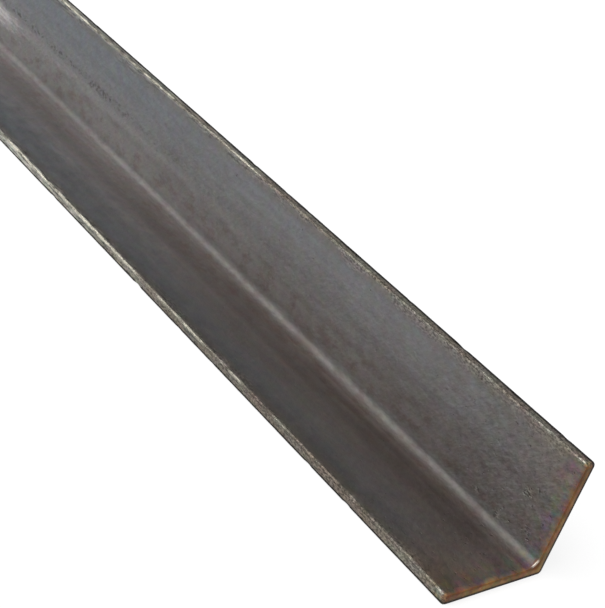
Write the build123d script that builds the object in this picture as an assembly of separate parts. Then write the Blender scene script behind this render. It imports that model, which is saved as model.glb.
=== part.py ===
"""Hot-rolled equal angle: one length of plain mild steel stock, with square-cut ends.

The steel is rolled in one piece. Its two legs are equal and of even thickness. The inside of the
corner is filled by a wide root radius, the heel outside it has a small one, and each toe is square
with both of its edges just eased, as the rolls leave it. Both ends are cut square, and the burr is
filed off round each cut.

The angle lies on one leg with the other upright. +X runs along the length, the base leg reaches
from the heel towards -Y, and the upright leg stands at +Y along +Z. The origin is the middle of the
footprint: half the length, half the leg width, and on the floor.
"""

from build123d import *
import os

# Driving dimensions, in millimetres.
LENGTH = 914.4  # cut length of the stock, three feet
LEG_WIDTH = 38.1  # heel to toe, measured outside, the same for both legs
LEG_THICKNESS = 3.175  # even from the root to the toe
ROOT_RADIUS = 4.0  # inside the corner
TOE_RADIUS = 0.8  # inner edge of each toe
BACK_RADIUS = 0.3  # outer edge of each toe
HEEL_RADIUS = 1.2  # outside the corner
BURR_CHAMFER = 0.15  # filed round each cut end


def rolled_section():
    """The L-shaped section that leaves the rolls, at the left-hand cut end."""
    back = LEG_WIDTH / 2  # the upright leg's outer face
    toe = back - LEG_WIDTH  # the base leg's toe
    inside = back - LEG_THICKNESS  # the upright leg's inner face
    corners = [
        ((toe, 0), BACK_RADIUS),
        ((back, 0), HEEL_RADIUS),
        ((back, LEG_WIDTH), BACK_RADIUS),
        ((inside, LEG_WIDTH), TOE_RADIUS),
        ((inside, LEG_THICKNESS), ROOT_RADIUS),
        ((toe, LEG_THICKNESS), TOE_RADIUS),
    ]
    with BuildSketch(Plane.YZ.offset(-LENGTH / 2)) as section:
        with BuildLine():
            Polyline(*[point for point, radius in corners], close=True)
        make_face()
        for point, radius in corners:
            fillet(section.vertices().sort_by_distance(point)[0], radius)
    return section.sketch


def angle_stock():
    """The section run out to the cut length, with the burr filed off both ends."""
    stock = extrude(rolled_section(), amount=LENGTH)
    cut_ends = stock.faces().filter_by(Axis.X)
    return chamfer(cut_ends.edges(), BURR_CHAMFER)


os.makedirs("parts", exist_ok=True)
export_step(angle_stock(), "parts/steel_angle.step")
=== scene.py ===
"""A length of hot-rolled equal steel angle, lying on one leg on a pale floor, in soft studio light."""

import math

import bmesh
import bpy
from mathutils import Matrix, Vector, noise


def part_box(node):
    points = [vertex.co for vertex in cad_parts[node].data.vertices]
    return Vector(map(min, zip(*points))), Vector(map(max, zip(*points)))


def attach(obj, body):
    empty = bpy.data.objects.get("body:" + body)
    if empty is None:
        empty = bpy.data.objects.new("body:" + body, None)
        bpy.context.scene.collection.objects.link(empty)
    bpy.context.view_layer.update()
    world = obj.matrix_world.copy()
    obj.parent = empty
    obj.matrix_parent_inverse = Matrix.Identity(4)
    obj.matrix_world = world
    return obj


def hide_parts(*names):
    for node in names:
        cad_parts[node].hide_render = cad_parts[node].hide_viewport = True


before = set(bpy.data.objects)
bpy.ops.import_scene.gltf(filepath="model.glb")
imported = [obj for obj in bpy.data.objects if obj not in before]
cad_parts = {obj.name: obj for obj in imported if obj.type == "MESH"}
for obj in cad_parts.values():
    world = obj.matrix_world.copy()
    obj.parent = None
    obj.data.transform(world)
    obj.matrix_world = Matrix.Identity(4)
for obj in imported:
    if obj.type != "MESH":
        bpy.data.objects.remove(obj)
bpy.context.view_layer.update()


# Camera. It looks down the inside of the angle from beyond its right-hand end, low and close, so
# the cut end is near and the far end runs out of the frame.
CAMERA_PLACE = Vector((0.6173, -0.2830, 0.2292))
CAMERA_AIM = Vector((0.3288, 0.0340, 0.0))  # on the floor under the upright leg
CAMERA_ROLL = math.radians(20.19)
CAMERA_LENS = 88.17  # millimetres, on the 36 mm long side
CAMERA_NEAR = 0.01

camera = bpy.data.objects.new("camera", bpy.data.cameras.new("camera"))
camera.data.lens = CAMERA_LENS
camera.data.clip_start = CAMERA_NEAR
camera.matrix_world = (
    Matrix.Translation(CAMERA_PLACE)
    @ (CAMERA_AIM - CAMERA_PLACE).to_track_quat("-Z", "Y").to_matrix().to_4x4()
    @ Matrix.Rotation(CAMERA_ROLL, 4, "Z")
)
bpy.context.scene.collection.objects.link(camera)
bpy.context.scene.camera = camera


# The angle. One length of mild steel, rolled hot into an L and left to cool, so its faces are dark
# mill scale, its toes are rough and rubbed bright along their corners, and its sawn ends have begun
# to rust. Its section is the rolls' own: a root radius inside, a small one at the heel, eased toes.
LEG_THICKNESS = 0.003175
ROOT_RADIUS = 0.004
TOE_RADIUS = 0.0008
BACK_RADIUS = 0.0003
HEEL_RADIUS = 0.0012
BURR_CHAMFER = 0.00015
END_CORNER_RADIUS = 0.0013  # where a cut meets a toe, seen flat on to the leg
STATION_STEP = 0.0007  # along the length
FLAT_CELL = 0.0037  # across the flats
TOE_FLAT_CUTS = 2  # in the flat of each toe
CUT_CELL = 0.0006  # on the cut ends
ENDWAYS = 0.5  # a face is at a cut when more of its normal than this lies along the bar
SQUARE_ON = 0.9  # and is the cut itself, without the filed edge, past this
SHARP_EDGE = math.radians(35)

angle_low, angle_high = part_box("steel_angle")
leg_width = angle_high.z - angle_low.z
bar_length = angle_high.x - angle_low.x
back = angle_high.y  # the upright leg's outer face
toe = angle_low.y  # the base leg's toe
inside = back - LEG_THICKNESS

rolled = bmesh.new()
section_corners = [
    ((toe, 0), BACK_RADIUS, 3),
    ((back, 0), HEEL_RADIUS, 4),
    ((back, leg_width), BACK_RADIUS, 3),
    ((inside, leg_width), TOE_RADIUS, 4),
    ((inside, LEG_THICKNESS), ROOT_RADIUS, 10),
    ((toe, LEG_THICKNESS), TOE_RADIUS, 4),
]
start = angle_low.x + BURR_CHAMFER
corner_verts = [rolled.verts.new((start, y, z)) for (y, z), radius, steps in section_corners]
rolled.faces.new(corner_verts)
for vert, (corner, radius, steps) in zip(corner_verts, section_corners):
    bmesh.ops.bevel(
        rolled, geom=[vert], affect="VERTICES", offset=radius, segments=steps, profile=0.5, material=-1
    )
for edge in list(rolled.edges):
    cells = math.ceil(edge.calc_length() / FLAT_CELL)
    if edge.calc_length() > ROOT_RADIUS:
        bmesh.ops.subdivide_edges(rolled, edges=[edge], cuts=cells - 1)
    elif edge.calc_length() > TOE_RADIUS:
        bmesh.ops.subdivide_edges(rolled, edges=[edge], cuts=TOE_FLAT_CUTS)

run = bmesh.ops.extrude_face_region(rolled, geom=list(rolled.faces))
far_verts = [item for item in run["geom"] if isinstance(item, bmesh.types.BMVert)]
bmesh.ops.translate(rolled, verts=far_verts, vec=(bar_length - 2 * BURR_CHAMFER, 0, 0))
bmesh.ops.recalc_face_normals(rolled, faces=list(rolled.faces))
lengthwise = [edge for edge in rolled.edges if edge.calc_length() > bar_length / 2]
bmesh.ops.subdivide_edges(
    rolled, edges=lengthwise, cuts=round(bar_length / STATION_STEP) - 1, use_grid_fill=True
)

cut_ends = [face for face in rolled.faces if abs(face.normal.x) > ENDWAYS]
bmesh.ops.inset_region(rolled, faces=cut_ends, thickness=BURR_CHAMFER, depth=BURR_CHAMFER)
slices = round(leg_width / CUT_CELL)
for step in range(1, slices):
    for plane_co, plane_no in (
        ((0, toe + step * CUT_CELL, 0), (0, 1, 0)),
        ((0, 0, step * CUT_CELL), (0, 0, 1)),
    ):
        cut_ends = [face for face in rolled.faces if abs(face.normal.x) > SQUARE_ON]
        touched = [item for face in cut_ends for item in (face, *face.edges, *face.verts)]
        geom = list(dict.fromkeys(touched))  # each once, in the mesh's own order
        bmesh.ops.bisect_plane(rolled, geom=geom, plane_co=plane_co, plane_no=plane_no)

# Its skin isn't flat. The rolls leave a slow wave, scale a fine grain, and the toes are coarser and
# nicked. Each has its depth, and its size along the bar and across it.
WAVE_DEPTH = 0.00002
WAVE_SIZE = (0.030, 0.011)
GRAIN_DEPTH = 0.000008
GRAIN_SIZE = (0.006, 0.004)
TOE_DEPTH = 0.00003
TOE_SIZE = (0.0035, 0.0013)
NICK_DEPTH = 0.0007
NICK_SIZE = (0.006, 0.002)
NICK_LEVEL = 0.25  # of the noise, so nicks are few
NICK_SHIFT = 40  # so nicks don't follow the other noises
TOE_WEAR_START = 0.0016  # in from the toe
TOE_WEAR_FADE = 0.0010


def unevenness(place, size, shift=0):
    """Noise from -1 to 1, in patches of that length along the bar and that width across it."""
    length, width = size
    across_base = back - place.y
    return noise.noise((place.x / length, shift + across_base / width, place.z / width))


def worn_depth(place):
    """How far the skin lies under its true face, from rolling, scale and handling."""
    along_leg = max(back - place.y, place.z)  # from the heel, on either leg
    toe_share = min(max((along_leg - leg_width + TOE_WEAR_START) / TOE_WEAR_FADE, 0), 1)
    wave = unevenness(place, WAVE_SIZE)
    grain = unevenness(place, GRAIN_SIZE)
    toe_skin = unevenness(place, TOE_SIZE)
    nick = max(unevenness(place, NICK_SIZE, NICK_SHIFT) - NICK_LEVEL, 0)
    return (
        WAVE_DEPTH * (1 + wave)
        + GRAIN_DEPTH * (1 + grain)
        + toe_share * (TOE_DEPTH * toe_skin + NICK_DEPTH * nick)
    )


def rounded_corner(place):
    """Where a point goes when the corner between a cut and a toe is knocked round, seen flat on."""
    beyond_end = abs(place.x) - (angle_high.x - END_CORNER_RADIUS)
    legs = ((back - place.y, Vector((0, -1, 0))), (place.z, Vector((0, 0, 1))))
    for along_leg, outwards in legs:
        beyond_toe = along_leg - (leg_width - END_CORNER_RADIUS)
        overshoot = math.hypot(beyond_end, beyond_toe) - END_CORNER_RADIUS
        if beyond_end > 0 and beyond_toe > 0 and overshoot > 0:
            pull = overshoot / math.hypot(beyond_end, beyond_toe)
            inwards = Vector((-math.copysign(beyond_end, place.x), 0, 0)) - outwards * beyond_toe
            return place + inwards * pull
    return place


rolled.normal_update()
sunk = [(vert, vert.normal * worn_depth(vert.co)) for vert in rolled.verts]
for vert, sink in sunk:
    vert.co = rounded_corner(vert.co - sink)
rolled.normal_update()
for edge in rolled.edges:
    edge.smooth = edge.calc_face_angle(0) < SHARP_EDGE
for face in rolled.faces:
    face.smooth = True

angle_mesh = bpy.data.meshes.new("rolled_angle")
rolled.to_mesh(angle_mesh)
rolled.free()
rolled_angle = bpy.data.objects.new("rolled_angle", angle_mesh)
bpy.context.scene.collection.objects.link(rolled_angle)


def linear(colour):
    """A "#rrggbb" sRGB colour as the linear numbers that a shader takes."""
    parts = [int(colour[at:at + 2], 16) / 255 for at in (1, 3, 5)]
    return tuple(c / 12.92 if c <= 0.04045 else ((c + 0.055) / 1.055) ** 2.4 for c in parts) + (1,)


def node(tree, kind, links=None, **settings):
    """Adds a shader node with its settings. Each socket, by identifier, takes a value or an output."""
    made = tree.nodes.new("ShaderNode" + kind)
    for name, value in settings.items():
        setattr(made, name, value)
    sockets = {socket.identifier: socket for socket in made.inputs}
    for name, value in (links or {}).items():
        if isinstance(value, bpy.types.Node):
            value = next(output for output in value.outputs if output.enabled)
        if isinstance(value, bpy.types.NodeSocket):
            tree.links.new(value, sockets[name])
        else:
            sockets[name].default_value = value
    return made


# Its steel: hot-rolled mild steel under mill scale, a thin blue-grey iron oxide. It shines dully, is
# browner where damp has sat near the root and the ends, and bare metal shows along the toe corners.
steel = bpy.data.materials.new("mill_scale_steel")
steel.use_nodes = True
tree = steel.node_tree
tree.nodes.clear()
place = node(tree, "TexCoord").outputs["Object"]
axes = node(tree, "SeparateXYZ", {"Vector": place}).outputs

# Places on the section, in metres. The lead runs round the inside from the base toe, below zero, over
# the root to the upright toe. along_leg is the way from the heel on either leg, through the way in
# from the outer face, and skin_gap, toe_gap and end_gap what is left to the inner face, to the toe
# and to the nearer cut. on_inside keeps the marks of the inner faces off the outer ones.
across_base = node(tree, "Math", {"Value": back, "Value_001": axes["Y"]}, operation="SUBTRACT")
lead = node(tree, "Math", {"Value": axes["Z"], "Value_001": across_base}, operation="SUBTRACT")
along_leg = node(tree, "Math", {"Value": across_base, "Value_001": axes["Z"]}, operation="MAXIMUM")
through = node(tree, "Math", {"Value": across_base, "Value_001": axes["Z"]}, operation="MINIMUM")
skin_gap = node(tree, "Math", {"Value": LEG_THICKNESS, "Value_001": through}, operation="SUBTRACT")
toe_gap = node(tree, "Math", {"Value": leg_width, "Value_001": along_leg}, operation="SUBTRACT")
from_middle = node(tree, "Math", {"Value": axes["X"]}, operation="ABSOLUTE")
end_gap = node(tree, "Math", {"Value": bar_length / 2, "Value_001": from_middle}, operation="SUBTRACT")
on_upright = node(tree, "MapRange", {"Value": lead, "From Min": -0.003, "From Max": 0.003})
on_inside = node(tree, "MapRange", {"Value": through, "From Min": 0.0010, "From Max": 0.0020})

# Unevenness: clouds and lines drawn out along the bar by the rolls, mottles, the scale's ripples,
# flecks where it has come away, stretches rubbed more or less, and faint tints. Each has its real size
# along the bar and across it, but flecks under half a millimetre wouldn't show and are drawn at that.
# Ripples lie mirrored about the root. Flecks draw out into dashes away from the cuts.
CLOUD_SIZE = (0.070, 0.011, 0.011)
LINE_SIZE = (0.160, 0.0024, 0.0024)
MOTTLE_SIZE = (0.0065, 0.0042, 0.0042)
RIPPLE_SIZE = (0.0024, 0.0012, 1.0)
RIPPLE_TURN = math.radians(50)
FLECK_SIZE = (0.0010, 0.0005, 0.0005)
DASH_SIZE = (0.0050, 0.0008, 0.0008)
STRETCH_SIZE = (0.016, 0.006, 0.006)
TINT_SIZE = (0.0042, 0.0032, 0.0032)
cloud_place = node(tree, "Mapping", {"Vector": place, "Scale": [1 / size for size in CLOUD_SIZE]})
clouds = node(tree, "TexNoise", {"Vector": cloud_place, "Scale": 1.0, "Detail": 4.0})
line_place = node(tree, "Mapping", {"Vector": place, "Scale": [1 / size for size in LINE_SIZE]})
lines = node(tree, "TexNoise", {"Vector": line_place, "Scale": 1.0, "Detail": 3.0})
mottle_place = node(tree, "Mapping", {"Vector": place, "Scale": [1 / size for size in MOTTLE_SIZE]})
mottles = node(
    tree,
    "TexNoise",
    {"Vector": mottle_place, "Scale": 1.0, "Detail": 4.0, "Roughness": 0.65},
)
flat_place = node(tree, "CombineXYZ", {"X": axes["X"], "Y": lead})
from_root = node(tree, "Math", {"Value": lead}, operation="ABSOLUTE")
rolled_place = node(tree, "CombineXYZ", {"X": axes["X"], "Y": from_root})
ripple_place = node(
    tree,
    "Mapping",
    {"Vector": rolled_place, "Rotation": (0.0, 0.0, RIPPLE_TURN), "Scale": RIPPLE_SIZE},
    vector_type="TEXTURE",
)
ripples = node(tree, "TexNoise", {"Vector": ripple_place, "Scale": 1.0, "Detail": 1.5, "Roughness": 0.5})
fleck_place = node(tree, "Mapping", {"Vector": place, "Scale": [1 / size for size in FLECK_SIZE]})
fine_flecks = node(
    tree,
    "TexNoise",
    {"Vector": fleck_place, "Scale": 1.0, "Detail": 2.0, "Roughness": 0.6},
)
dash_place = node(tree, "Mapping", {"Vector": place, "Scale": [1 / size for size in DASH_SIZE]})
dashes = node(tree, "TexNoise", {"Vector": dash_place, "Scale": 1.0, "Detail": 2.0, "Roughness": 0.6})
dash_share = node(
    tree,
    "MapRange",
    {"Value": end_gap, "From Min": 0.04, "From Max": 0.20, "To Min": 0.0, "To Max": 0.75},
)
flecks = node(
    tree,
    "Mix",
    {"Factor_Float": dash_share, "A_Float": fine_flecks, "B_Float": dashes},
)
stretch_place = node(tree, "Mapping", {"Vector": place, "Scale": [1 / size for size in STRETCH_SIZE]})
stretches = node(tree, "TexNoise", {"Vector": stretch_place, "Scale": 1.0, "Detail": 2.0})
tint_place = node(tree, "Mapping", {"Vector": place, "Scale": [1 / size for size in TINT_SIZE]})
tints = node(tree, "TexNoise", {"Vector": tint_place, "Scale": 1.0, "Detail": 3.0, "Roughness": 0.6})

# Scale: blue-grey on the outer half of each leg, plain grey towards the root.
outer_half = node(
    tree,
    "MapRange",
    {"Value": along_leg, "From Min": 0.012, "From Max": 0.034},
    interpolation_type="SMOOTHSTEP",
)
root_half_colour = node(
    tree,
    "Mix",
    {"Factor_Float": on_upright, "A_Color": linear("#a39e9d"), "B_Color": linear("#9f9e9d")},
    data_type="RGBA",
)
scale_colour = node(
    tree,
    "Mix",
    {"Factor_Float": outer_half, "A_Color": root_half_colour, "B_Color": linear("#7e8287")},
    data_type="RGBA",
)

# Film: a thin brown bloom of damp, full at the cuts and fading inwards, further in on the base. The
# last stretch before a cut is browner still on the outer half of each leg.
FILM_REACH = 0.28
BASE_FILM_REACH = 0.055  # further in than on the upright
LAST_STRETCH = 0.030
cloud_shift = node(
    tree,
    "MapRange",
    {"Value": clouds, "From Min": 0.3, "From Max": 0.7, "To Min": -0.06, "To Max": 0.06},
)
leg_shift = node(
    tree,
    "MapRange",
    {"Value": lead, "From Min": -0.004, "From Max": 0.004, "To Min": -BASE_FILM_REACH, "To Max": 0.0},
)
shifts = node(tree, "Math", {"Value": cloud_shift, "Value_001": leg_shift})
film_gap = node(tree, "Math", {"Value": end_gap, "Value_001": shifts})
film = node(
    tree,
    "MapRange",
    {"Value": film_gap, "From Min": 0.0, "From Max": FILM_REACH, "To Min": 1.0, "To Max": 0.0},
)
film_mottle = node(
    tree,
    "MapRange",
    {"Value": mottles, "From Min": 0.35, "From Max": 0.65, "To Min": 0.8, "To Max": 1.15},
)
film_hold = node(
    tree,
    "MapRange",
    {"Value": lead, "From Min": 0.010, "From Max": 0.030, "To Min": 1.0, "To Max": 0.84},
    interpolation_type="SMOOTHSTEP",
)
held_film = node(tree, "Math", {"Value": film, "Value_001": film_hold}, operation="MULTIPLY")
mottled_film = node(
    tree,
    "Math",
    {"Value": held_film, "Value_001": film_mottle},
    operation="MULTIPLY",
    use_clamp=True,
)
base_film = node(
    tree,
    "Mix",
    {"Factor_Float": outer_half, "A_Color": linear("#79706b"), "B_Color": linear("#757271")},
    data_type="RGBA",
)
film_colour = node(
    tree,
    "Mix",
    {"Factor_Float": on_upright, "A_Color": base_film, "B_Color": linear("#787472")},
    data_type="RGBA",
)
filmed = node(
    tree,
    "Mix",
    {"Factor_Float": mottled_film, "A_Color": scale_colour, "B_Color": film_colour},
    data_type="RGBA",
)
last_stretch = node(
    tree,
    "MapRange",
    {"Value": end_gap, "From Min": 0.003, "From Max": LAST_STRETCH, "To Min": 1.0, "To Max": 0.0},
    interpolation_type="SMOOTHSTEP",
)
damp_leg = node(
    tree,
    "MapRange",
    {"Value": on_upright, "From Min": 0.0, "From Max": 1.0, "To Min": 0.75, "To Max": 0.35},
)
damp_end = node(tree, "Math", {"Value": last_stretch, "Value_001": damp_leg}, operation="MULTIPLY")
damp_share = node(tree, "Math", {"Value": damp_end, "Value_001": outer_half}, operation="MULTIPLY")
damp_stained = node(
    tree,
    "Mix",
    {"Factor_Float": damp_share, "A_Color": filmed, "B_Color": linear("#7d6c5d")},
    data_type="RGBA",
)

# Red-brown mottles beside the root, on both legs.
beside_root = node(
    tree,
    "MapRange",
    {"Value": along_leg, "From Min": 0.010, "From Max": 0.020, "To Min": 1.0, "To Max": 0.0},
    interpolation_type="SMOOTHSTEP",
)
red_mottle = node(
    tree,
    "MapRange",
    {"Value": mottles, "From Min": 0.46, "From Max": 0.68, "To Min": 0.0, "To Max": 0.40},
    interpolation_type="SMOOTHSTEP",
)
red_share = node(
    tree, "Math", {"Value": beside_root, "Value_001": red_mottle}, operation="MULTIPLY"
)
reddened = node(
    tree,
    "Mix",
    {"Factor_Float": red_share, "A_Color": damp_stained, "B_Color": linear("#6c5752")},
    data_type="RGBA",
)

# Root: dust and loose scale lie in it, dark and matt, and thicker towards the cuts.
ROOT_LEAD = 0.0003  # the dust lies a little up the upright's side
root_lead = node(tree, "Math", {"Value": lead, "Value_001": ROOT_LEAD}, operation="SUBTRACT")
off_root = node(tree, "Math", {"Value": root_lead}, operation="ABSOLUTE")
root_width = node(
    tree,
    "MapRange",
    {"Value": off_root, "From Min": 0.0014, "From Max": 0.0040, "To Min": 1.0, "To Max": 0.0},
    interpolation_type="SMOOTHSTEP",
)
root_depth = node(
    tree,
    "MapRange",
    {"Value": end_gap, "From Min": 0.0, "From Max": 0.10, "To Min": 0.66, "To Max": 0.52},
)
root_dust = node(tree, "Math", {"Value": root_width, "Value_001": root_depth}, operation="MULTIPLY")
in_root = node(tree, "Math", {"Value": root_dust, "Value_001": on_inside}, operation="MULTIPLY")
rooted = node(
    tree,
    "Mix",
    {"Factor_Float": in_root, "A_Color": reddened, "B_Color": linear("#474644")},
    data_type="RGBA",
)

# Roll marks: bands that the rolls left paler or duller. Each has its place on the lead, the half-widths
# of its flat middle and of the whole, its change of tone, and the gaps to the nearer cut at which it
# is still missing and at which it is full.
ROLL_MARKS = (
    (-0.0112, 0.0004, 0.0050, -0.20, -1.0, 0.0),
    (-0.0070, 0.0004, 0.0024, -0.12, -1.0, 0.0),
    (-0.0072, 0.0004, 0.0022, -0.12, 0.12, 0.07),
    (0.0003, 0.0008, 0.0022, 0.10, 0.08, 0.14),
    (0.0130, 0.0008, 0.0035, 0.20, 0.12, 0.24),
    (0.0062, 0.0022, 0.0050, 0.16, 0.03, 0.08),
    (0.0100, 0.0040, 0.0080, 0.08, 0.20, 0.15),
    (0.0270, 0.0050, 0.0100, 0.06, 0.20, 0.15),
    (0.0250, 0.0050, 0.0100, -0.05, 0.08, 0.04),
    (-0.0340, 0.0030, 0.0120, -0.19, 0.21, 0.12),
    (-0.0340, 0.0030, 0.0120, 0.14, 0.035, 0.015),
    (-0.0150, 0.0040, 0.0110, -0.09, 0.17, 0.10),
    (-0.0170, 0.0120, 0.0200, -0.04, 0.11, 0.06),
    (-0.0150, 0.0060, 0.0160, 0.20, 0.020, 0.005),
    (0.0080, 0.0050, 0.0100, 0.12, 0.030, 0.010),
    (0.0180, 0.0120, 0.0220, -0.05, 0.045, 0.030),
    (-0.0033, 0.0003, 0.0013, -0.12, 0.165, 0.095),
    (0.0023, 0.0002, 0.0008, -0.14, 0.10, 0.05),
)
wander = node(
    tree,
    "MapRange",
    {"Value": clouds, "From Min": 0.3, "From Max": 0.7, "To Min": -0.0008, "To Max": 0.0008},
)
lane = node(tree, "Math", {"Value": lead, "Value_001": wander})
band_tone = 1.0
for centre, flat, whole, change, out_gap, in_gap in ROLL_MARKS:
    to_band = node(tree, "Math", {"Value": lane, "Value_001": centre}, operation="SUBTRACT")
    off_band = node(tree, "Math", {"Value": to_band}, operation="ABSOLUTE")
    band = node(
        tree,
        "MapRange",
        {"Value": off_band, "From Min": flat, "From Max": whole, "To Min": change, "To Max": 0.0},
        interpolation_type="SMOOTHSTEP",
    )
    shown = node(
        tree,
        "MapRange",
        {"Value": end_gap, "From Min": out_gap, "From Max": in_gap},
        interpolation_type="SMOOTHSTEP",
    )
    band_tone = node(
        tree,
        "Math",
        {"Value": band, "Value_001": shown, "Value_002": band_tone},
        operation="MULTIPLY_ADD",
    )

# Seam: a row of small dark marks that the rolls left on the upright, faint near the cuts.
SEAM_LEAD = 0.0168
SEAM_SIZE = (0.0018, 0.0013, 0.0013)
SEAM_STRETCHES = 0.5  # how far it follows the rubbed stretches
seam_place = node(tree, "Mapping", {"Vector": place, "Scale": [1 / size for size in SEAM_SIZE]})
seam_marks = node(
    tree,
    "TexNoise",
    {"Vector": seam_place, "Scale": 1.0, "Detail": 3.0, "Roughness": 0.6},
)
seam_level = node(
    tree,
    "Math",
    {"Value": stretches, "Value_001": SEAM_STRETCHES, "Value_002": seam_marks},
    operation="MULTIPLY_ADD",
)
seam_broken = node(tree, "MapRange", {"Value": seam_level, "From Min": 0.79, "From Max": 0.91})
to_seam = node(tree, "Math", {"Value": lane, "Value_001": SEAM_LEAD}, operation="SUBTRACT")
off_seam = node(tree, "Math", {"Value": to_seam}, operation="ABSOLUTE")
seam_width = node(
    tree,
    "MapRange",
    {"Value": off_seam, "From Min": 0.0003, "From Max": 0.0022, "To Min": 0.60, "To Max": 0.0},
)
seam_shown = node(
    tree,
    "MapRange",
    {"Value": end_gap, "From Min": 0.12, "From Max": 0.24, "To Min": 0.15, "To Max": 1.0},
)
seam_faint = node(tree, "Math", {"Value": seam_width, "Value_001": seam_shown}, operation="MULTIPLY")
seam_row = node(tree, "Math", {"Value": seam_faint, "Value_001": seam_broken}, operation="MULTIPLY")
seam = node(tree, "Math", {"Value": seam_row, "Value_001": on_inside}, operation="MULTIPLY")
seamed = node(
    tree,
    "Mix",
    {"Factor_Float": seam, "A_Color": rooted, "B_Color": linear("#4c4845")},
    data_type="RGBA",
)

# Painted highlight: pale patches on the upright, where a glare of light is painted into the colour. Each
# has its middle along the bar, its half-length and its change of tone.
GLARE_LEAD = 0.0115
GLARE_HALF_WIDTH = 0.0052
GLARE_MOTTLES = -0.9  # how much the mottles fray its edge
GLARE_FLECKS = -1.2  # and the flecks
GLARE_PATCHES = (
    (0.138, 0.028, 1.0),
    (0.080, 0.072, 0.55),
)
painted_glare_tone = 1.0
for along, half_length, change in GLARE_PATCHES:
    glare_ring = node(
        tree,
        "Mapping",
        {
            "Vector": flat_place,
            "Location": (along, GLARE_LEAD, 0.0),
            "Scale": (half_length, GLARE_HALF_WIDTH, 1.0),
        },
        vector_type="TEXTURE",
    )
    off_glare = node(tree, "VectorMath", {"Vector": glare_ring}, operation="LENGTH")
    glare_ragged = node(
        tree,
        "Math",
        {"Value": mottles, "Value_001": GLARE_MOTTLES, "Value_002": off_glare.outputs["Value"]},
        operation="MULTIPLY_ADD",
    )
    glare_broken = node(
        tree,
        "Math",
        {"Value": flecks, "Value_001": GLARE_FLECKS, "Value_002": glare_ragged},
        operation="MULTIPLY_ADD",
    )
    glare_share = node(
        tree,
        "MapRange",
        {"Value": glare_broken, "From Min": -0.95, "From Max": -0.05, "To Min": change, "To Max": 0.0},
        interpolation_type="SMOOTHSTEP",
    )
    painted_glare_tone = node(
        tree,
        "Math",
        {"Value": glare_share, "Value_001": on_inside, "Value_002": painted_glare_tone},
        operation="MULTIPLY_ADD",
    )

# Pits: where scale has flaked, small and dark and few. By the right-hand cut it has crumbled in some
# spots, each with its place along the bar and on the lead, and its radius.
PIT_SIZE = (0.0013, 0.0012, 0.0012)
PITS_IN_CRUMBLED = 0.05
PITS_IN_ROOT = -0.2  # the dust hides them
PIT_SHADE = 0.5
SPOT_MIDDLE = 0.4  # of its radius
pit_place = node(tree, "Mapping", {"Vector": place, "Scale": [1 / size for size in PIT_SIZE]})
pit_noise = node(tree, "TexNoise", {"Vector": pit_place, "Scale": 1.0, "Detail": 2.0, "Roughness": 0.5})
pit_reach = node(
    tree,
    "MapRange",
    {"Value": end_gap, "From Min": 0.006, "From Max": 0.060, "To Min": 0.0, "To Max": -0.06},
    interpolation_type="SMOOTHSTEP",
)
CRUMBLED = (
    (0.4450, 0.0156, 0.0022),
    (0.4497, 0.0066, 0.0016),
    (0.4390, 0.0034, 0.0018),
    (0.4300, 0.0050, 0.0012),
)
crumbled = 0.0
for along, across, radius in CRUMBLED:
    off_spot = node(
        tree,
        "VectorMath",
        {"Vector": flat_place, "Vector_001": (along, across, 0.0)},
        operation="DISTANCE",
    )
    spot = node(
        tree,
        "MapRange",
        {
            "Value": off_spot.outputs["Value"],
            "From Min": radius * SPOT_MIDDLE,
            "From Max": radius,
            "To Min": 1.0,
            "To Max": 0.0,
        },
    )
    crumbled = node(tree, "Math", {"Value": spot, "Value_001": crumbled}, operation="MAXIMUM")
crumbled = node(tree, "Math", {"Value": crumbled, "Value_001": on_inside}, operation="MULTIPLY")
pit_level = node(tree, "Math", {"Value": pit_noise, "Value_001": pit_reach})
pit_spots = node(
    tree,
    "Math",
    {"Value": crumbled, "Value_001": PITS_IN_CRUMBLED, "Value_002": pit_level},
    operation="MULTIPLY_ADD",
)
pit_hold = node(
    tree,
    "Math",
    {"Value": root_width, "Value_001": PITS_IN_ROOT, "Value_002": pit_spots},
    operation="MULTIPLY_ADD",
)
pits = node(tree, "MapRange", {"Value": pit_hold, "From Min": 0.66, "From Max": 0.74})
pit_share = node(tree, "Math", {"Value": pits, "Value_001": PIT_SHADE}, operation="MULTIPLY")
pitted = node(
    tree,
    "Mix",
    {"Factor_Float": pit_share, "A_Color": seamed, "B_Color": linear("#3c3530")},
    data_type="RGBA",
)

# Toes: coarse from the rolls, with the scale rubbed thin, flecked dark and pale, and paler away from
# the damp ends. The flecks spread on to the face beside them in some stretches.
CRUMBLED_FLECKS = 0.6
beside_leg = node(
    tree,
    "MapRange",
    {"Value": on_upright, "From Min": 0.0, "From Max": 1.0, "To Min": 0.50, "To Max": 0.42},
)
beside_toe = node(
    tree,
    "MapRange",
    {"Value": toe_gap, "From Min": 0.0018, "From Max": 0.0048, "To Min": beside_leg, "To Max": 0.0},
    interpolation_type="SMOOTHSTEP",
)
browned = node(
    tree,
    "Mix",
    {"Factor_Float": beside_toe, "A_Color": pitted, "B_Color": linear("#685f51")},
    data_type="RGBA",
)
on_toe = node(
    tree,
    "MapRange",
    {"Value": toe_gap, "From Min": 0.0003, "From Max": 0.0011, "To Min": 1.0, "To Max": 0.0},
)
toe_dry = node(
    tree,
    "MapRange",
    {"Value": end_gap, "From Min": 0.10, "From Max": 0.38},
    interpolation_type="SMOOTHSTEP",
)
dry_leg = node(
    tree,
    "MapRange",
    {"Value": on_upright, "From Min": 0.0, "From Max": 1.0, "To Min": 1.0, "To Max": 0.72},
)
dry_share = node(tree, "Math", {"Value": toe_dry, "Value_001": dry_leg}, operation="MULTIPLY")
toe_tint = node(
    tree,
    "MapRange",
    {"Value": stretches, "From Min": 0.40, "From Max": 0.60},
)
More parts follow.
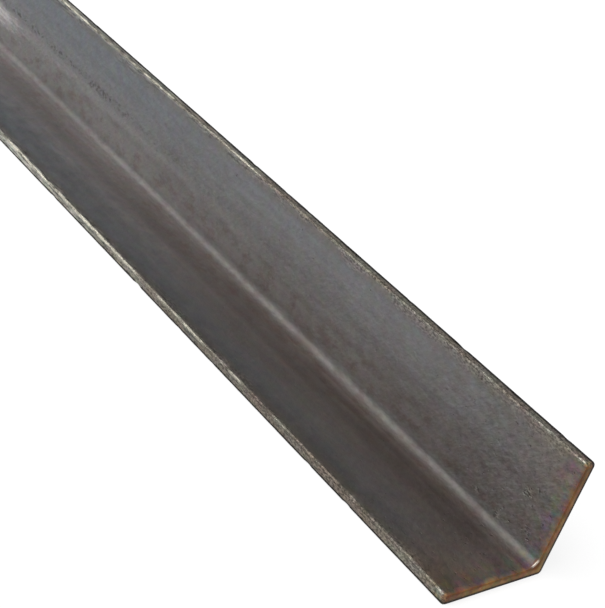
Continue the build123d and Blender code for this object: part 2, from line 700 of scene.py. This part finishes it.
damp_toe = node(
    tree,
    "Mix",
    {"Factor_Float": toe_tint, "A_Color": linear("#7a7167"), "B_Color": linear("#737169")},
    data_type="RGBA",
)
toe_colour = node(
    tree,
    "Mix",
    {"Factor_Float": dry_share, "A_Color": damp_toe, "B_Color": linear("#b1b2aa")},
    data_type="RGBA",
)
toed = node(
    tree,
    "Mix",
    {"Factor_Float": on_toe, "A_Color": browned, "B_Color": toe_colour},
    data_type="RGBA",
)
fleck_spread = node(
    tree,
    "MapRange",
    {"Value": stretches, "From Min": 0.42, "From Max": 0.62, "To Min": 0.0014, "To Max": 0.0046},
)
fleck_share = node(
    tree,
    "MapRange",
    {"Value": toe_gap, "From Min": 0.0004, "From Max": fleck_spread, "To Min": 1.0, "To Max": 0.0},
)
fleck_hold = node(
    tree,
    "MapRange",
    {"Value": end_gap, "From Min": 0.03, "From Max": 0.14, "To Min": 0.6, "To Max": 0.85},
)
held_fleck = node(tree, "Math", {"Value": fleck_share, "Value_001": fleck_hold}, operation="MULTIPLY")
crumb_fleck = node(tree, "Math", {"Value": crumbled, "Value_001": CRUMBLED_FLECKS}, operation="MULTIPLY")
flaked_share = node(
    tree, "Math", {"Value": held_fleck, "Value_001": crumb_fleck}, operation="MAXIMUM"
)
fleck_tone = node(
    tree,
    "MapRange",
    {"Value": flecks, "From Min": 0.38, "From Max": 0.62, "To Min": 1.05, "To Max": -0.80},
)
toe_fleck_tone = node(
    tree,
    "Math",
    {"Value": fleck_tone, "Value_001": flaked_share, "Value_002": 1.0},
    operation="MULTIPLY_ADD",
)

# Toe corners: the inner one is dull, and rubbed bare in places, and at the cuts most of all. Along the
# outer one runs a near-black line of painted shade, wider on the toe than on the outer face.
UPRIGHT_RUB_SHIFT = 0.0006  # nearer to the cut than on the base
EDGE_SHADE_LEAN = 2.5  # times as wide on the toe
corner_shift = node(
    tree,
    "MapRange",
    {"Value": on_upright, "From Min": 0.0, "From Max": 1.0, "To Min": 0.00040, "To Max": 0.00028},
)
corner_gap = node(
    tree, "Math", {"Value": skin_gap, "Value_001": corner_shift}, operation="SUBTRACT"
)
inner_corner = node(tree, "CombineXYZ", {"X": toe_gap, "Y": corner_gap})
off_inner_corner = node(tree, "VectorMath", {"Vector": inner_corner}, operation="LENGTH")
corner_share = node(
    tree,
    "MapRange",
    {
        "Value": off_inner_corner.outputs["Value"],
        "From Min": 0.00026,
        "From Max": 0.00058,
        "To Min": 1.0,
        "To Max": 0.0,
    },
)
rub_base = node(
    tree,
    "MapRange",
    {"Value": end_gap, "From Min": 0.02, "From Max": 0.13, "To Min": -0.13, "To Max": 0.05},
)
rub_upright = node(
    tree,
    "MapRange",
    {"Value": end_gap, "From Min": 0.05, "From Max": 0.18, "To Min": -0.18, "To Max": 0.05},
)
rub_leg = node(
    tree,
    "Mix",
    {"Factor_Float": on_upright, "A_Float": rub_base, "B_Float": rub_upright},
)
rub_gap = node(
    tree,
    "Math",
    {"Value": on_upright, "Value_001": UPRIGHT_RUB_SHIFT, "Value_002": end_gap},
    operation="MULTIPLY_ADD",
)
rub_end = node(
    tree,
    "MapRange",
    {"Value": rub_gap, "From Min": 0.0036, "From Max": 0.0050, "To Min": 0.26, "To Max": 0.0},
)
rub_stretch = node(
    tree,
    "MapRange",
    {"Value": stretches, "From Min": 0.3, "From Max": 0.7, "To Min": -0.16, "To Max": 0.16},
)
rub_shift = node(tree, "Math", {"Value": rub_leg, "Value_001": rub_end})
rub_level = node(tree, "Math", {"Value": rub_shift, "Value_001": rub_stretch})
rubbed = node(tree, "Math", {"Value": flecks, "Value_001": rub_level})
rub_share = node(tree, "MapRange", {"Value": rubbed, "From Min": 0.46, "From Max": 0.58})
rub_stop = node(tree, "MapRange", {"Value": end_gap, "From Min": 0.0010, "From Max": 0.0016})
rub_kept = node(tree, "Math", {"Value": rub_share, "Value_001": rub_stop}, operation="MULTIPLY")
corner_bare = node(
    tree, "Math", {"Value": corner_share, "Value_001": rub_kept}, operation="MULTIPLY"
)
corner_dull = node(
    tree,
    "MapRange",
    {"Value": corner_share, "From Min": 0.0, "From Max": 1.0, "To Min": 1.0, "To Max": 0.70},
)
dull_tone = node(
    tree,
    "Mix",
    {"Factor_Float": corner_bare, "A_Float": corner_dull, "B_Float": 1.0},
)

# Root at the cut: its edge has been knocked bright.
root_axis = node(
    tree,
    "VectorMath",
    {"Vector": place, "Vector_001": (0.0, 1.0, 1.0)},
    operation="MULTIPLY",
)
from_root_axis = node(
    tree,
    "VectorMath",
    {"Vector": root_axis, "Vector_001": (0.0, inside - ROOT_RADIUS, LEG_THICKNESS + ROOT_RADIUS)},
    operation="DISTANCE",
)
under_root = node(
    tree,
    "Math",
    {"Value": from_root_axis.outputs["Value"], "Value_001": ROOT_RADIUS},
    operation="SUBTRACT",
)
from_root_edge = node(tree, "Math", {"Value": end_gap, "Value_001": under_root}, operation="MAXIMUM")
chip_width = node(
    tree,
    "MapRange",
    {"Value": from_root_edge, "From Min": 0.00035, "From Max": 0.00060, "To Min": 0.8, "To Max": 0.0},
)
chip_ends = node(
    tree,
    "MapRange",
    {"Value": off_root, "From Min": 0.0014, "From Max": 0.0026, "To Min": 1.0, "To Max": 0.0},
)
chip = node(tree, "Math", {"Value": chip_width, "Value_001": chip_ends}, operation="MULTIPLY")
bare_share = node(tree, "Math", {"Value": corner_bare, "Value_001": chip}, operation="MAXIMUM")
bared = node(
    tree,
    "Mix",
    {"Factor_Float": bare_share, "A_Color": toed, "B_Color": linear("#d2cdbd")},
    data_type="RGBA",
)
# Painted shade: a near-black line along each toe's outer corner, where the edge turns into shadow.
outer_gap = node(tree, "Math", {"Value": toe_gap, "Value_001": EDGE_SHADE_LEAN}, operation="MULTIPLY")
outer_corner = node(tree, "CombineXYZ", {"X": outer_gap, "Y": through})
off_outer_corner = node(tree, "VectorMath", {"Vector": outer_corner}, operation="LENGTH")
edge_shade_reach = node(
    tree,
    "MapRange",
    {"Value": on_upright, "From Min": 0.0, "From Max": 1.0, "To Min": 0.0006, "To Max": 0.0010},
)
edge_shade_gap = node(
    tree,
    "Math",
    {"Value": off_outer_corner.outputs["Value"], "Value_001": edge_shade_reach},
    operation="SUBTRACT",
)
painted_edge_shade = node(
    tree,
    "MapRange",
    {"Value": edge_shade_gap, "From Min": 0.0, "From Max": 0.0003, "To Min": 0.95, "To Max": 0.0},
)
edge_shaded = node(
    tree,
    "Mix",
    {"Factor_Float": painted_edge_shade, "A_Color": bared, "B_Color": linear("#1f1b18")},
    data_type="RGBA",
)

# Cut ends: bare when sawn, so they rust first. The rust is golden brown, darker towards the inner face,
# and a little creeps over the edge on to the faces. A near-black line of painted shade runs along the
# outer edge.
CREEP_FLECKS = 0.0016  # how far the flecks fray its edge
CREEP_SHIFT = 0.0008
rust_tone = node(
    tree,
    "MapRange",
    {"Value": mottles, "From Min": 0.38, "From Max": 0.62, "To Min": 0.72, "To Max": 1.28},
)
rust_middle = node(
    tree,
    "MapRange",
    {"Value": skin_gap, "From Min": 0.0004, "From Max": 0.0014},
    interpolation_type="SMOOTHSTEP",
)
rust_colour = node(
    tree,
    "Mix",
    {"Factor_Float": rust_middle, "A_Color": linear("#85592e"), "B_Color": linear("#9e7851")},
    data_type="RGBA",
)
toned_rust = node(
    tree, "VectorMath", {"Vector": rust_colour, "Scale": rust_tone}, operation="SCALE"
)
# Painted shade: almost black along the outer edge of each cut.
painted_rim_shade = node(
    tree,
    "MapRange",
    {"Value": through, "From Min": 0.0007, "From Max": 0.0012, "To Min": 0.97, "To Max": 0.0},
)
rust_and_rim_shade = node(
    tree,
    "Mix",
    {"Factor_Float": painted_rim_shade, "A_Color": toned_rust, "B_Color": linear("#1c120b")},
    data_type="RGBA",
)
creep_width = node(
    tree,
    "MapRange",
    {"Value": mottles, "From Min": 0.35, "From Max": 0.65, "To Min": 0.0009, "To Max": 0.0022},
)
creep_ragged = node(
    tree,
    "Math",
    {"Value": flecks, "Value_001": CREEP_FLECKS, "Value_002": end_gap},
    operation="MULTIPLY_ADD",
)
creep_gap = node(tree, "Math", {"Value": creep_ragged, "Value_001": CREEP_SHIFT}, operation="SUBTRACT")
rust_creep = node(
    tree,
    "MapRange",
    {"Value": creep_gap, "From Min": 0.0, "From Max": creep_width, "To Min": 0.75, "To Max": 0.0},
)
on_cut = node(
    tree,
    "MapRange",
    {"Value": end_gap, "From Min": 0.00012, "From Max": 0.0004, "To Min": 0.97, "To Max": 0.0},
)
rust = node(tree, "Math", {"Value": rust_creep, "Value_001": on_cut}, operation="MAXIMUM")
bare_end = node(tree, "Math", {"Value": 1.0, "Value_001": bare_share}, operation="SUBTRACT")
free_rust = node(tree, "Math", {"Value": rust, "Value_001": bare_end}, operation="MULTIPLY")
rusted = node(
    tree,
    "Mix",
    {"Factor_Float": free_rust, "A_Color": edge_shaded, "B_Color": rust_and_rim_shade},
    data_type="RGBA",
)

# Ripples and tints: faint changes of tone and of hue. Ripples are strongest by the right-hand cut and
# calm down to the left. Tints are strongest beside both cuts, where the saw's heat coloured the scale.
ripple_depth = node(
    tree,
    "MapRange",
    {"Value": axes["X"], "From Min": 0.397, "From Max": 0.447, "To Min": 0.16, "To Max": 0.38},
)
ripple_leg = node(
    tree,
    "MapRange",
    {"Value": on_upright, "From Min": 0.0, "From Max": 1.0, "To Min": 0.65, "To Max": 1.0},
)
leg_ripple = node(
    tree, "Math", {"Value": ripple_depth, "Value_001": ripple_leg}, operation="MULTIPLY"
)
ripple_wave = node(
    tree,
    "MapRange",
    {"Value": ripples, "From Min": 0.0, "From Max": 1.0, "To Min": -1.0, "To Max": 1.0},
)
ripple_hold = node(
    tree,
    "MapRange",
    {"Value": root_width, "From Min": 0.0, "From Max": 1.0, "To Min": 1.0, "To Max": 0.4},
)
ripple_calm = node(
    tree,
    "MapRange",
    {"Value": axes["X"], "From Min": -0.10, "From Max": 0.14, "To Min": 0.45, "To Max": 1.0},
)
calm_ripple = node(
    tree, "Math", {"Value": leg_ripple, "Value_001": ripple_calm}, operation="MULTIPLY"
)
held_ripple = node(
    tree, "Math", {"Value": calm_ripple, "Value_001": ripple_hold}, operation="MULTIPLY"
)
ripple_tone = node(
    tree,
    "Math",
    {"Value": ripple_wave, "Value_001": held_ripple, "Value_002": 1.0},
    operation="MULTIPLY_ADD",
)
line_tone = node(
    tree,
    "MapRange",
    {"Value": lines, "From Min": 0.3, "From Max": 0.7, "To Min": 0.95, "To Max": 1.05},
)
mottle_depth = node(
    tree,
    "MapRange",
    {"Value": on_upright, "From Min": 0.0, "From Max": 1.0, "To Min": 0.32, "To Max": 0.0},
)
mottle_wave = node(
    tree,
    "MapRange",
    {"Value": mottles, "From Min": 0.0, "From Max": 1.0, "To Min": -1.0, "To Max": 1.0},
)
mottle_tone = node(
    tree,
    "Math",
    {"Value": mottle_wave, "Value_001": mottle_depth, "Value_002": 1.0},
    operation="MULTIPLY_ADD",
)
# The tone carries the painted highlight of the glare patches along with the scale's own tones.
tone = band_tone
for part_tone in (painted_glare_tone, ripple_tone, line_tone, mottle_tone, toe_fleck_tone, dull_tone):
    tone = node(tree, "Math", {"Value": tone, "Value_001": part_tone}, operation="MULTIPLY")
toned = node(tree, "VectorMath", {"Vector": rusted, "Scale": tone}, operation="SCALE")
tint_centred = node(
    tree,
    "VectorMath",
    {"Vector": tints.outputs["Color"], "Vector_001": (0.5, 0.5, 0.5)},
    operation="SUBTRACT",
)
tint_depth = node(
    tree,
    "MapRange",
    {"Value": end_gap, "From Min": 0.002, "From Max": 0.009, "To Min": 1.3, "To Max": 0.30},
    interpolation_type="SMOOTHSTEP",
)
tint_held = node(tree, "Math", {"Value": tint_depth, "Value_001": bare_end}, operation="MULTIPLY")
tint_change = node(
    tree, "VectorMath", {"Vector": tint_centred, "Scale": tint_held}, operation="SCALE"
)
tint = node(
    tree, "VectorMath", {"Vector": tint_change, "Vector_001": (1.0, 1.0, 1.0)}, operation="ADD"
)
tinted = node(tree, "VectorMath", {"Vector": toned, "Vector_001": tint}, operation="MULTIPLY")

# Relief and gloss: how deep the patterns above lie in the scale, and how dull each finish is. Dust and
# rust are duller than scale, bare metal is glossier, and rust hardly reflects as metal does.
RIPPLE_GAIN = 2.0
RIPPLE_RELIEF = 0.00025
PIT_RELIEF = -0.00010  # sunk
FLECK_RELIEF = 0.00025
MOTTLE_RELIEF = 0.0003
MOTTLE_STRENGTH = 0.6
RUST_METALLIC = 0.15
ROOT_DULL = 0.08
RUST_DULL = 0.25
BARE_GLOSS = -0.1
ripple_height = node(
    tree, "Math", {"Value": held_ripple, "Value_001": RIPPLE_GAIN}, operation="MULTIPLY"
)
ripple_bump = node(
    tree, "Bump", {"Height": ripples, "Strength": ripple_height, "Distance": RIPPLE_RELIEF}
)
pit_bump = node(
    tree,
    "Bump",
    {"Height": pits, "Strength": 1.0, "Distance": PIT_RELIEF, "Normal": ripple_bump},
)
fleck_bump = node(
    tree,
    "Bump",
    {"Height": flecks, "Strength": flaked_share, "Distance": FLECK_RELIEF, "Normal": pit_bump},
)
mottle_bump = node(
    tree,
    "Bump",
    {
        "Height": mottles,
        "Strength": MOTTLE_STRENGTH,
        "Distance": MOTTLE_RELIEF,
        "Normal": fleck_bump,
    },
)
metallic = node(
    tree,
    "MapRange",
    {"Value": free_rust, "From Min": 0.0, "From Max": 1.0, "To Min": 1.0, "To Max": RUST_METALLIC},
)
dull = node(
    tree,
    "MapRange",
    {"Value": mottles, "From Min": 0.3, "From Max": 0.7, "To Min": 0.41, "To Max": 0.51},
)
root_dull = node(
    tree,
    "Math",
    {"Value": in_root, "Value_001": ROOT_DULL, "Value_002": dull},
    operation="MULTIPLY_ADD",
)
rust_dull = node(
    tree,
    "Math",
    {"Value": free_rust, "Value_001": RUST_DULL, "Value_002": root_dull},
    operation="MULTIPLY_ADD",
)
gloss = node(
    tree,
    "Math",
    {"Value": bare_share, "Value_001": BARE_GLOSS, "Value_002": rust_dull},
    operation="MULTIPLY_ADD",
)
shader = node(
    tree,
    "BsdfPrincipled",
    {
        "Base Color": tinted,
        "Metallic": metallic,
        "Roughness": gloss,
        "Specular IOR Level": 0.25,
        "Normal": mottle_bump,
    },
)
node(tree, "OutputMaterial", {"Surface": shader.outputs["BSDF"]})
angle_mesh.materials.append(steel)

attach(rolled_angle, "root")
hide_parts("steel_angle")


# Floor. A wide sheet of white board. Its paint is mid grey to the lamps, so it throws little light
# back on the angle, and a glow that only the camera, reflections and clear things see makes it white.
FLOOR_HALF = 30.0
BOARD_GLOW = 0.78
floor_shape = bmesh.new()
bmesh.ops.create_grid(floor_shape, x_segments=1, y_segments=1, size=FLOOR_HALF)
floor_mesh = bpy.data.meshes.new("floor")
floor_shape.to_mesh(floor_mesh)
floor_shape.free()
floor = bpy.data.objects.new("floor", floor_mesh)
bpy.context.scene.collection.objects.link(floor)
board = bpy.data.materials.new("white_board")
board.use_nodes = True
board.node_tree.nodes.clear()
seen = node(board.node_tree, "LightPath").outputs
seen_plainly = node(
    board.node_tree,
    "Math",
    {"Value": seen["Is Camera Ray"], "Value_001": seen["Is Glossy Ray"]},
    operation="MAXIMUM",
)
seen_at_all = node(
    board.node_tree,
    "Math",
    {"Value": seen_plainly, "Value_001": seen["Is Transmission Ray"]},
    operation="MAXIMUM",
)
glow = node(
    board.node_tree, "Math", {"Value": seen_at_all, "Value_001": BOARD_GLOW}, operation="MULTIPLY"
)
paint = node(
    board.node_tree,
    "BsdfPrincipled",
    {
        "Base Color": linear("#8c8c8c"),
        "Roughness": 0.9,
        "Emission Color": (1, 1, 1, 1),
        "Emission Strength": glow,
    },
)
node(board.node_tree, "OutputMaterial", {"Surface": paint.outputs["BSDF"]})
floor_mesh.materials.append(board)


# Light. A plain white room all round, and one broad soft lamp from high on the open side of the
# angle. Together they just bring the glowing board to white.
SKY_STRENGTH = 0.52
KEY_STRENGTH = 1.97
KEY_TOWARDS = Vector((0.166, 0.621, -0.766))
KEY_ANGLE = math.radians(55)
world = bpy.data.worlds.new("studio")
world.use_nodes = True
world.node_tree.nodes.clear()
sky = node(world.node_tree, "Background", {"Color": (1, 1, 1, 1), "Strength": SKY_STRENGTH})
node(world.node_tree, "OutputWorld", {"Surface": sky.outputs["Background"]})
bpy.context.scene.world = world

key = bpy.data.objects.new("key", bpy.data.lights.new("key", "SUN"))
key.data.energy = KEY_STRENGTH
key.data.angle = KEY_ANGLE
key.matrix_world = KEY_TOWARDS.to_track_quat("-Z", "Y").to_matrix().to_4x4()
bpy.context.scene.collection.objects.link(key)

bpy.context.scene.view_settings.view_transform = "Standard"
